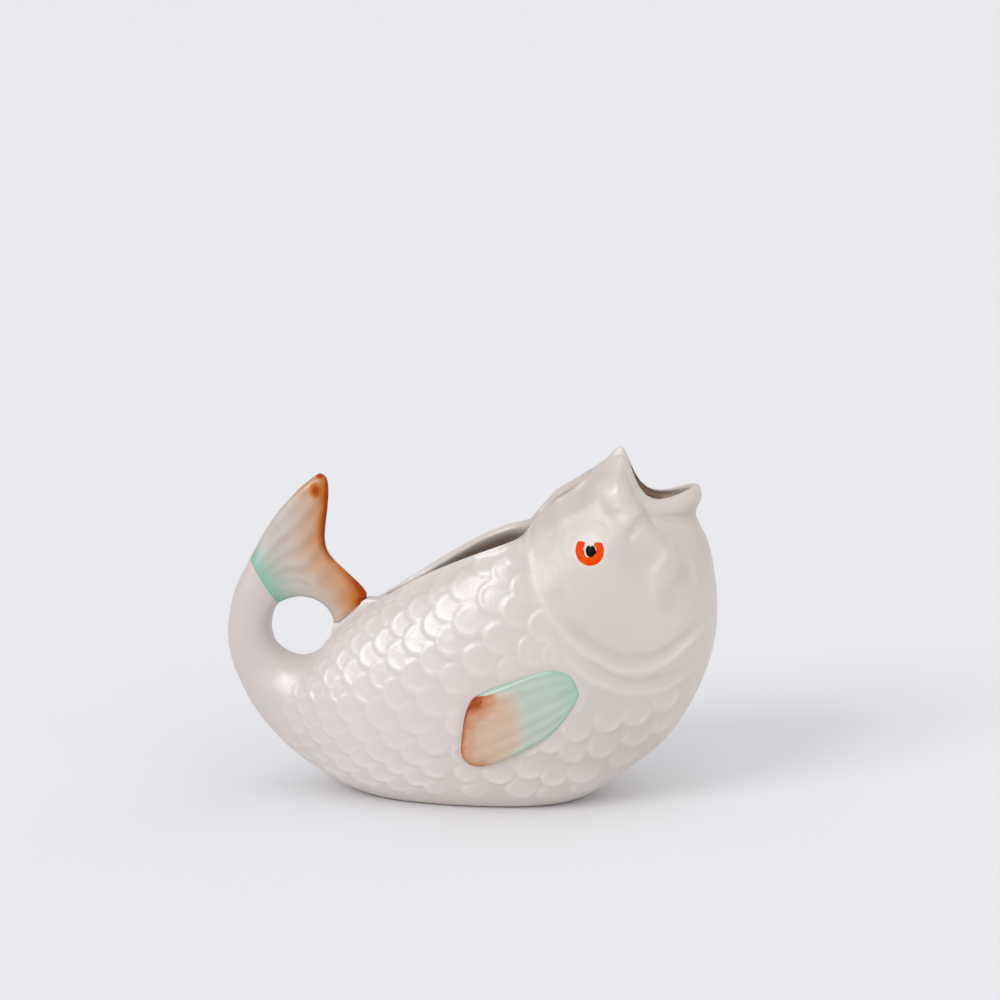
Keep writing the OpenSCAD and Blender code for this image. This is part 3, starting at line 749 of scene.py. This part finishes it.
body = dict(
    outerColumns=150, innerColumns=15, rimColumns=6, lipRows=6,
    # the columns above this share of the flank stand closer together by the belly
    upperShare=0.87,
    # the wall runs out thinner between these rings and above these shares, at the brow
    browThinning=0.55, browRings=(25, 28), browShares=(0.3, 0.5),
    # ring from which the lip is drawn in by its own round edge, and the angle of that edge
    lipRing=27, lipTurn=89,
    # the inside goes from the painted shade under the rim to the painted light further in, by these
    # shares and rings
    deepShares=(0.04, 0.28), deepRings=(0, 1),
    softBand=2.3, softSteps=240, softPasses=9,
)
bodyRows = [(4, 6.5, 14), (6.5, 11, 63), (11, 18, 98), (18, 23, 46), (23, 29, 58)]


def buildBody():
    b, wall, last = body, jug["wall"], jug["mouthRing"]
    inner, rim = b["innerColumns"], b["rimColumns"]
    stations = [("wall", (1 - i / inner) ** 2) for i in range(inner + 1)]
    stations += [("rim", i / rim) for i in range(1, rim)]
    share = b["upperShare"]
    upper = round(b["outerColumns"] * share)
    lower = b["outerColumns"] - upper
    stations += [("skin", share * i / upper) for i in range(upper)]
    stations += [("skin", share + (1 - share) * i / lower) for i in range(lower + 1)]
    rings = [low + (high - low) * i / count for low, high, count in bodyRows for i in range(count)]
    rings.append(last)
    rows = len(rings) - 1
    bm, places = grid(rows + b["lipRows"], len(stations) - 1)
    heightLayer, insideLayer, edgeLayer = layers(bm, "relief", "inside", "warm")

    def wallAt(u, t):
        thinning = b["browThinning"] * fade(u, *b["browRings"])
        return wall * (1 - thinning * (1 - fade(t, *b["browShares"])))

    def lipStart(t, depth):
        step = (skin(last, t, depth) - skin(last - 0.2, t, depth)) / 0.2
        return step.normalized(), last - wallAt(last, t) / 2 / step.length
    lips = {}

    def place(kind, t, row):
        if row <= rows:
            u, first = rings[row], b["lipRing"]
            if u > first:
                if (kind, t) not in lips:
                    lips[kind, t] = lipStart(t, wallAt(last, t) if kind == "wall" else 0)
                u = first + (u - first) / (last - first) * (lips[kind, t][1] - first)
            if kind == "wall":
                return skin(u, t, wallAt(u, t)), 0
            rise = reliefAt(u, t)
            return skin(u, t, -rise), rise
        angle = math.radians(b["lipTurn"]) * (row - rows) / b["lipRows"]
        forward, half = lips[kind, t][0], wallAt(last, t) / 2
        side = 1 if kind == "wall" else -1
        p = skin(last, t, half + side * half * math.cos(angle))
        return p - forward * half * (1 - math.sin(angle)), 0

    found = {}
    for v, row, column in places:
        kind, t = stations[column]
        if kind == "rim":
            continue
        found[row, column] = place(kind, t, row)
        v.co, v[heightLayer] = found[row, column][0] * mm, found[row, column][1]
        behind = last - rings[min(row, rows)]
        # how far the inner wall has gone from the painted shade under the rim to the painted light
        # further in
        deep = min(fade(t, *b["deepShares"]), fade(behind, *b["deepRings"]))
        v[insideLayer] = 1 + deep if kind == "wall" else 0
        # share of the painted highlight along the lip
        v[edgeLayer] = max(row - rows, 0) / b["lipRows"]
    for v, row, column in places:
        kind, t = stations[column]
        if kind == "rim":
            v.co = found[row, inner][0].lerp(found[row, inner + rim][0], t) * mm
            # painted highlight along the rim of the open back
            v[edgeLayer] = math.sin(math.pi * t)
    flattened(bm)
    flat = [face for face in bm.faces if all(v.co.y == 0 for v in face.verts)]
    bmesh.ops.delete(bm, geom=flat, context="FACES")
    mirrored(bm)
    loose = [v for v in bm.verts if not v.link_faces]
    bmesh.ops.delete(bm, geom=loose, context="VERTS")

    # close the two open ends
    front = [e for e in openEdges(bm) if e.verts[0].co.x > 0]
    rear = [e for e in openEdges(bm) if e.verts[0].co.x <= 0]
    bmesh.ops.bridge_loops(bm, edges=front)
    bmesh.ops.bridge_loops(bm, edges=rear)

    # soften the rim of the open back
    first, final = jug["slotFirst"], jug["slotLast"]
    edgePoints = []
    for i in range(b["softSteps"] + 1):
        u = first + (final - first) * i / b["softSteps"]
        for depth in (0, wall):
            p = skin(u, 0, depth)
            edgePoints += [p * mm, Vector((p.x, -p.y, p.z)) * mm]
    edgePoints += [skin(last, t / 40, depth) * mm for t in range(4) for depth in (0, 0, wall)]
    rimTree = treeOf(edgePoints)
    near = [v for v in bm.verts if rimTree.find(v.co)[2] / mm < b["softBand"]]
    relax(bm, near, b["softPasses"])
    # nothing of the relief goes past the size of the solids
    for v in bm.verts:
        v.co.x, v.co.z = min(v.co.x, cadBounds[1][0]), min(v.co.z, cadBounds[1][2])
    return bm


finishPiece(buildBody(), "glazedBody", "body_casting", paleGlaze)

# stem of the tail

stem = dict(rows=56, outerColumns=64, innerColumns=16, floorRing=0.5, skinDepth=0.003,
            jointTop=0.0625)


def tube(rows, columns, first, last, depth):
    bm, places = grid(rows, columns)
    for v, row, column in places:
        v.co = skin(first + (last - first) * row / rows, column / columns, depth) * mm
    flattened(bm)
    mirrored(bm)
    return bm


def buildStem():
    s, joint = stem, jug["jointRing"]
    bm = tube(s["rows"], s["outerColumns"], 0, joint, s["skinDepth"])
    inside = tube(s["rows"] // 2, s["innerColumns"], s["floorRing"], joint, jug["wall"])
    kept = bpy.data.meshes.new("stemInside")
    inside.to_mesh(kept)
    inside.free()
    bm.from_mesh(kept)
    bpy.data.meshes.remove(kept)
    lower = [e for e in openEdges(bm) if all(v.co.z < s["jointTop"] for v in e.verts)]
    bmesh.ops.bridge_loops(bm, edges=lower)
    bmesh.ops.holes_fill(bm, edges=openEdges(bm), sides=0)
    return bm


finishPiece(buildStem(), "glazedStem", "tail_stem", paleGlaze)

# fluke

fluke = dict(
    thick=8, rise=64, reach=26.6, groove=0.6, ribs=7, padThick=3.2, columns=110, rows=120,
    relaxing=90, rim=(1.5, 1.7, 1.7), swell=(2.5, 8, 9), ribSide=(0.5, 9), ribEnd=6, rootShare=0.4,
    marginSteps=240, sideSteps=160, rootSteps=60,
)
upperLobe = [(-0.661, 0.548), (-0.44, 0.695), (-0.2, 0.815), (0.0, 0.9), (0.2, 0.966)]
margin = [(0.285, 0.984), (0.382, 0.958), (0.41, 0.89), (0.4, 0.797), (0.365, 0.682),
          (0.335, 0.572), (0.345, 0.505), (0.425, 0.445), (0.58, 0.383), (0.77, 0.308),
          (0.92, 0.246), (0.985, 0.196)]
archAngles = [116, 89, 58, 29.5, 8.6]
archShares = [0.96, 0.91, 0.92, 0.955, 0.975]
seatRings = [8.72, 9.2, 9.7, 10.25]


def aboveBack(u, height):
    along = (curve(back, u + 0.1) - curve(back, u - 0.1)).normalized()
    return curve(back, u) + height * Vector((-along.y, along.x))


def flukePoint(share):
    return hole + Vector((share[0] * fluke["reach"], share[1] * fluke["rise"]))


flukeLeft = [belly[0]] + [flukePoint(s) for s in upperLobe]
flukeRight = [back[0]]
flukeRight += [hole + polar(jug["holeSize"] / 2 * s, a) for s, a in zip(archShares, archAngles)]
# the lobe sinks into the pad, least at the finger hole
flukeRight += [aboveBack(u, fluke["padThick"] - min(0.6, 0.15 + i))
               for i, u in enumerate(seatRings)]
flukeMargin = [flukeLeft[-1]] + [flukePoint(s) for s in margin] + [flukeRight[-1]]
flukeRoot = [belly[0].lerp(back[0], i / 4) for i in range(5)]


def spread(g):
    # closer together at both ends
    return g + (0.5 - 0.5 * math.cos(math.pi * g) - g) * 0.75


# dark drops of colour at the tip: place, half width and half height
drops = [((0.277, 0.976), 1.4, 1.2), ((0.222, 0.887), 2.1, 3.2)]
# strength of the brown line on the margin, from the tip to the end of the lower lobe
marginBrown = [0.1, 0.35, 0.8, 0.95, 1, 0.85, 0.5, 0.45, 0.55, 0.7, 0.9, 0.9]


def buildFluke():
    k, columns, rows = fluke, fluke["columns"], fluke["rows"]
    bm, places = grid(columns, rows)
    cool, warm, dark = layers(bm, "cool", "warm", "dark")
    seat, sideSteps = len(flukeRight) - len(seatRings), k["sideSteps"]
    margin = flatTree(along(flukeMargin, k["marginSteps"]))
    sides = flatTree(along(flukeLeft, sideSteps) + along(flukeRight[:seat + 1], sideSteps))
    rootLine = flatTree(along(flukeRoot, k["rootSteps"]))
    lobe = flukeMargin[-2]
    shares = {v: (spread(column / columns), 1 - (1 - row / rows) ** 1.5)
              for v, column, row in places}
    for v, (a, b) in shares.items():
        p = patch(flukeRoot, flukeMargin, flukeLeft, flukeRight, a, b)
        v.co = Vector((p.x, 0, p.y))
    free = [v for v, i, j in places if 0 < i < columns and 0 < j < rows]
    relax(bm, free, k["relaxing"])
    for v, column, row in places:
        a, b = shares[v]
        p = Vector((v.co.x, v.co.z))
        sideIndex, side = nearest(sides, p)
        index, end = nearest(margin, p)
        root, toLobe = nearest(rootLine, p)[1], (p - lobe).length
        blade = sum(half * roundEdge(side, sideReach) * roundEdge(end, endReach)
                    for half, sideReach, endReach in (k["rim"], k["swell"]))
        rib = k["groove"] * math.cos(math.pi * k["ribs"] * a) ** 2
        rib *= fade(side, *k["ribSide"]) * roundEdge(end, k["ribEnd"])
        start = halfWidths[0] * math.sqrt(max(1 - abs(2 * a - 1) ** 2, 0))
        blend = ease(b / k["rootShare"])
        half = start * (1 - blend) + (blade - rib) * blend
        seated = column == columns and b * (len(flukeRight) - 1) > seat
        if row == rows or column in (0, columns) and not seated:
            half = 0
        v.co = Vector((p.x, -half, p.y)) * mm
        # the masks of the paint: a line and a haze along the root, the margin and the lobe
        v[cool] = glow(root, 0.4, 2.5, 1.3) + glow(root, 0.62, 9.5 + 3 * a)
        # the warm wash also follows the ribs: their own coloured lines, with painted shade in the
        # grooves
        v[warm] = (glow(end, 0.7, 7.5, 1.6) + glow(end, 0.4, 18) + glow(toLobe, 0.7, 11)
                   + 0.16 * (rib / k["groove"] - 0.5))
        if sideIndex <= sideSteps:
            v[warm] += glow(side, 0.5, 3.6) * fade(sideIndex / sideSteps, 0.5, 0.9)
        strength = curve(marginBrown, index / k["marginSteps"] * (len(marginBrown) - 1))
        v[dark] = strength * (glow(end, 0.75, 1.3 + 0.8 * strength, 1.6) + glow(end, 0.35, 4.6))
        v[dark] += glow(toLobe, 0.6, 7.5)
        for share, wide, high in drops:
            d = p - flukePoint(share)
            v[dark] += glow(math.hypot(d.x / wide, d.y / high), 0.95, 1, 2.4)
    mirrored(bm)
    bmesh.ops.holes_fill(bm, edges=openEdges(bm), sides=0)
    return bm


# brush marks: size of the clouds and of the strokes, their length, share and shade
brush = dict(clouds=120.0, strokes=520.0, length=3.2, share=0.4, shade=0.93, redSpecular=0.1)


def painted(name, base, cool, warm, rust, dark, wash, slope):
    # brushed colours over the pale glaze; the masks say where, the noise makes the brush marks
    made, n, surface = newMaterial(name)
    place = n.add("TexCoord").outputs["Object"]
    turned = n.add("Mapping", {
        "Vector": place, "Rotation": (0, -math.radians(slope), 0), "Scale": (brush["length"], 1, 1),
    }, vector_type="TEXTURE").outputs["Vector"]
    cloud = n.noise(place, brush["clouds"], 4.0)
    stroke = n.noise(turned, brush["strokes"], 3.0, 0.6)
    loose = n.plus(n.times(cloud, 1 - brush["share"]), n.times(stroke, brush["share"]))
    colour = n.mix(n.span(cloud, 0.3, 0.7), base, [c * brush["shade"] for c in base])

    def mask(layer, low, high, drift):
        moved = n.times(n.math("SUBTRACT", loose, 0.5), drift)
        return n.span(n.plus(attribute(n, layer), moved), low, high)
    colour = n.mix(mask("cool", 0.0, 1.0, wash * 0.6), colour, cool)
    colour = n.mix(mask("warm", 0.0, 1.0, wash), colour, warm)
    red = mask("dark", 0.05, 0.6, wash * 1.2)
    colour = n.mix(n.times(red, n.span(stroke, 0.25, 0.6, 0.8, 1.0)), colour, rust)
    colour = n.mix(mask("dark", 0.5, 1.0, wash * 1.2), colour, dark)
    glazed(surface, n, colour, glaze["paintWaviness"])
    setInputs(surface, {
        "Specular IOR Level": n.span(red, 0, 1, glaze["specular"], brush["redSpecular"]),
        "Coat Weight": n.span(red, 0, 1, glaze["coat"], 0.0),
    })
    return made


flukeGlaze = painted("flukeGlaze", (0.55, 0.475, 0.415), (0.225, 0.46, 0.355), (0.54, 0.285, 0.15),
                     (0.50, 0.15, 0.028), (0.36, 0.05, 0.002), 0.35, 50)
finishPiece(buildFluke(), "paintedFluke", "tail_fluke", flukeGlaze, sharpAngle=75)

# pad of slip under the lower lobe: its reach past the seat and its slopes in rings, and its
# width and depth against the fluke's
pad = dict(rows=40, columns=30, rear=0.55, front=0.6, upTo=0.02, downFrom=0.05,
           slack=0.05, sink=0.3, width=0.98, narrowing=0.4)


def buildPad():
    k, half = pad, fluke["thick"] / 2
    first, last = seatRings[0] - k["rear"], seatRings[-1] + k["front"]
    bm, places = slab(k["rows"], k["columns"])
    for v, a, b, upper in places:
        u, s = first + (last - first) * a, 2 * b - 1
        if upper:
            rise = fade(u, first, seatRings[0] + k["upTo"])
            rise *= 1 - fade(u, seatRings[-1] + k["downFrom"], last)
            p = aboveBack(u, (fluke["padThick"] - k["slack"]) * rise)
            v.co = Vector((p.x, half * (k["width"] - k["narrowing"] * rise) * s, p.y)) * mm
        else:
            y = half * k["width"] * s
            angle = math.asin((abs(y) / curve(halfWidths, u)) ** (jug["roundBack"] / 2))
            p = skin(u, angle / math.pi, k["sink"])
            v.co = Vector((p.x, y, p.z)) * mm
    relax(bm, bm.verts)
    return bm


finishPiece(buildPad(), "slipPad", "tail_pad", paleGlaze)

# side fins, brushed green from the root and brown from the free edge
finGlaze = painted("finGlaze", (0.515, 0.555, 0.49), (0.27, 0.50, 0.39), (0.585, 0.435, 0.32),
                   (0.53, 0.215, 0.095), (0.33, 0.06, 0.01), 0.55, fin["slope"])
# where the brown begins: share across the fin, share along it
finBoundary = [(-0.6, 0.7), (-0.517, 0.651), (-0.442, 0.565), (-0.365, 0.498), (-0.136, 0.45),
               (0.042, 0.424), (0.227, 0.404), (0.333, 0.445), (0.4, 0.56), (0.43, 0.68),
               (0.5, 0.9)]


def finShare(p):
    d, a = p - sidePoint(fin["place"]), math.radians(fin["slope"])
    return ((d.x * math.cos(a) + d.y * math.sin(a)) / fin["length"],
            (d.x * math.sin(a) - d.y * math.cos(a)) / fin["width"])


def boundaryAt(share):
    for (low, start), (high, end) in zip(finBoundary, finBoundary[1:]):
        if share <= high:
            return start + (end - start) * max(share - low, 0) / (high - low)
    return finBoundary[-1][1]


def buildFin(side):
    k = fin
    bm, places = slab(k["rows"], k["columns"])
    cool, warm, dark = layers(bm, "cool", "warm", "dark")
    outline = flatTree([p for edge in finEdges for p in along(edge, k["outlineSteps"])])
    freeEdge = flatTree(along(finEdges[1], k["outlineSteps"]))
    corner = finPoint(k["corner"])
    for v, a, b, upper in places:
        a, b = spread(a), 1 - (1 - b) ** 1.2
        p = finPlace(a, b)
        out = flankPlace(p)[2]
        distance, end = nearest(outline, p)[1], nearest(freeEdge, p)[1]
        if upper:
            edge = roundEdge(distance, k["edgeRound"] + k["edgeGain"] * b)
            inside = roundEdge(distance, k["pillow"])
            rise = k["root"] + (k["proud"] - k["root"]) * ease(b)
            rise *= k["edgeShare"] * edge + (1 - k["edgeShare"]) * edge * inside
            rib = k["groove"] * math.cos(math.pi * k["ribs"] * a) ** 2 * inside
            # the rim itself turns in a little
            out += rise - rib - (0.15 if distance < 0.05 else 0)
        else:
            out -= k["sink"]
        v.co = Vector((p.x, -out * side, p.y)) * mm
        # the masks of the paint: green from the root, brown from the free edge and the corner
        s, across = finShare(p)
        past, toCorner = s - boundaryAt(across), (p - corner).length
        brown = fade(past, -0.012, 0.016)
        v[cool] = (1 - 0.7 * brown) * (0.3 + glow(distance, 0.25, 1.1, 1.5) + glow(s, 0.25, 0.16))
        v[warm] = brown * (1 - glow(past, 0.55, 0.09))
        v[dark] = brown * (glow(end, 0.5, 0.9, 1.5) + glow(end, 0.42, 6.5, 1.6)
                           + glow(toCorner, 0.65, 2.3) + glow(toCorner, 0.3, 9))
    return bm


for side, name, node in ((1, "Right", "fin_right"), (-1, "Left", "fin_left")):
    finishPiece(buildFin(side), "paintedFin" + name, node, finGlaze, sharpAngle=75)

# eyes: a swelling of the skin with the ring and the pupil painted on
eye = dict(
    place=(0.2445, 0.7542), dome=8.6, swell=0.35, seat=0.04, sink=0.9, relief=0.3,
    ringSize=11.3, ringWidth=3.2, ringGap=80, ringTurn=91, pupilSize=4.3, pupilShift=(0.45, -0.2),
    paint=0.13, paintLift=0.03, paintEdge=0.6, whiteShade=0.2, whiteFade=(5.4, 6.9),
    specular=0.03, coat=0.01,
)
eyeMiddle = sidePoint(eye["place"])


def onEye(p, lift):
    u, t, width = flankPlace(p)
    distance = (p - eyeMiddle).length / eye["dome"]
    swell = eye["swell"] * (1 - min(distance, 1) ** 2) ** 2 - eye["seat"]
    return skin(u, t, -(reliefAt(u, t) + swell + lift))


def roundPlace(radius, a, b):
    # the square of shares from 0 to 1 spread over a disc
    a, b = 2 * a - 1, 2 * b - 1
    place = Vector((a * math.sqrt(1 - b * b / 2), -b * math.sqrt(1 - a * a / 2)))
    return eyeMiddle + radius * place


def wave(angle, height):
    return height * math.sin(math.radians(angle))


def irisPlace(a, b):
    # the ring is open at the top, where its two arms narrow and are cut off level
    gap, outer, width = eye["ringGap"] - 12 + 46 * b, eye["ringSize"] / 2, eye["ringWidth"]
    angle = eye["ringTurn"] + gap / 2 + (360 - gap) * a
    ends = min(a, 1 - a) * math.radians(360 - gap) * (outer - width / 2)
    low = outer - width * (0.64 + 0.36 * roundEdge(ends, 1.8))
    uneven = wave(angle * 3 + 40, 0.14) + wave(angle * 5, 0.08)
    return (eyeMiddle + polar(low + (outer - low) * b + uneven * (1 - b), angle),
            min(min(b, 1 - b) * width, ends))


def pupilPlace(a, b):
    # a brushed spot with a dent at the top and a short tail
    p = roundPlace(1, a, b) - eyeMiddle
    angle = math.degrees(math.atan2(p.y, p.x))
    radius = eye["pupilSize"] / 2 * (1 + wave(2 * angle + 260, 0.07))
    radius *= 1 - glow(angle - 93, 0.34, 13) + glow(angle + 16, 0.5, 11)
    return eyeMiddle + Vector(eye["pupilShift"]) + p * radius, (1 - p.length) * radius


def domePlace(a, b):
    p = roundPlace(eye["dome"], a, b)
    return p, eye["dome"] - (p - eyeMiddle).length


def eyePiece(placeOf, rows, columns, side, lift, thick):
    bm, places = slab(rows, columns)
    pooledAndShaded, white = layers(bm, "relief", "cool")
    for v, a, b, upper in places:
        p, distance = placeOf(a, b)
        height = thick * roundEdge(distance, eye["paintEdge"]) if upper else -eye["sink"]
        v.co = onEye(p, lift + height) * mm
        v.co.y *= side
        v[pooledAndShaded] = eye["relief"]
        v[white] = eye["whiteShade"] * (1 - fade((p - eyeMiddle).length, *eye["whiteFade"]))
    return bm


def enamel(name, strokes, one, two):
    made, n, surface = newMaterial(name)
    streak = n.noise(n.add("TexCoord").outputs["Object"], strokes, 3.0)
    glazed(surface, n, n.mix(n.span(streak, 0.4, 0.75), one, two), glaze["enamelWaviness"])
    setInputs(surface, {"Specular IOR Level": eye["specular"], "Coat Weight": eye["coat"]})
    return made


irisPaint = enamel("irisPaint", 520.0, (0.76, 0.045, 0.0), (0.78, 0.10, 0.002))
pupilPaint = enamel("pupilPaint", 700.0, (0.003, 0.002, 0.003), (0.01, 0.008, 0.01))
for side, name in ((1, "Right"), (-1, "Left")):
    for kind, placeOf, rows, columns, lift, thick, node, paint, slotName in (
            ("eyeDome", domePlace, 60, 60, 0, 0, "eye_", paleGlaze, "pale_glaze"),
            ("irisRing", irisPlace, 120, 14, eye["paintLift"], eye["paint"], "iris_", irisPaint,
             "iris_enamel"),
            ("pupilSpot", pupilPlace, 40, 40, eye["paintLift"], eye["paint"], "pupil_", pupilPaint,
             "pupil_enamel")):
        bm = eyePiece(placeOf, rows, columns, side, lift, thick)
        finishPiece(bm, kind + name, node + name.lower(), paint)

# floor

floorMaterial, n, surface = newMaterial("paperFloor")
setInputs(surface, {"Base Color": (*stage["floorColour"], 1), "Roughness": stage["floorRoughness"],
                    "Specular IOR Level": stage["floorSpecular"]})
bm = bmesh.new()
bmesh.ops.create_circle(bm, cap_ends=True, segments=96, radius=stage["floorRadius"])
floorMesh = bpy.data.meshes.new("paperFloor")
bm.to_mesh(floorMesh)
bm.free()
floorMesh.materials.append(floorMaterial)
floor = addObject("paperFloor", floorMesh)
print("floor laid")
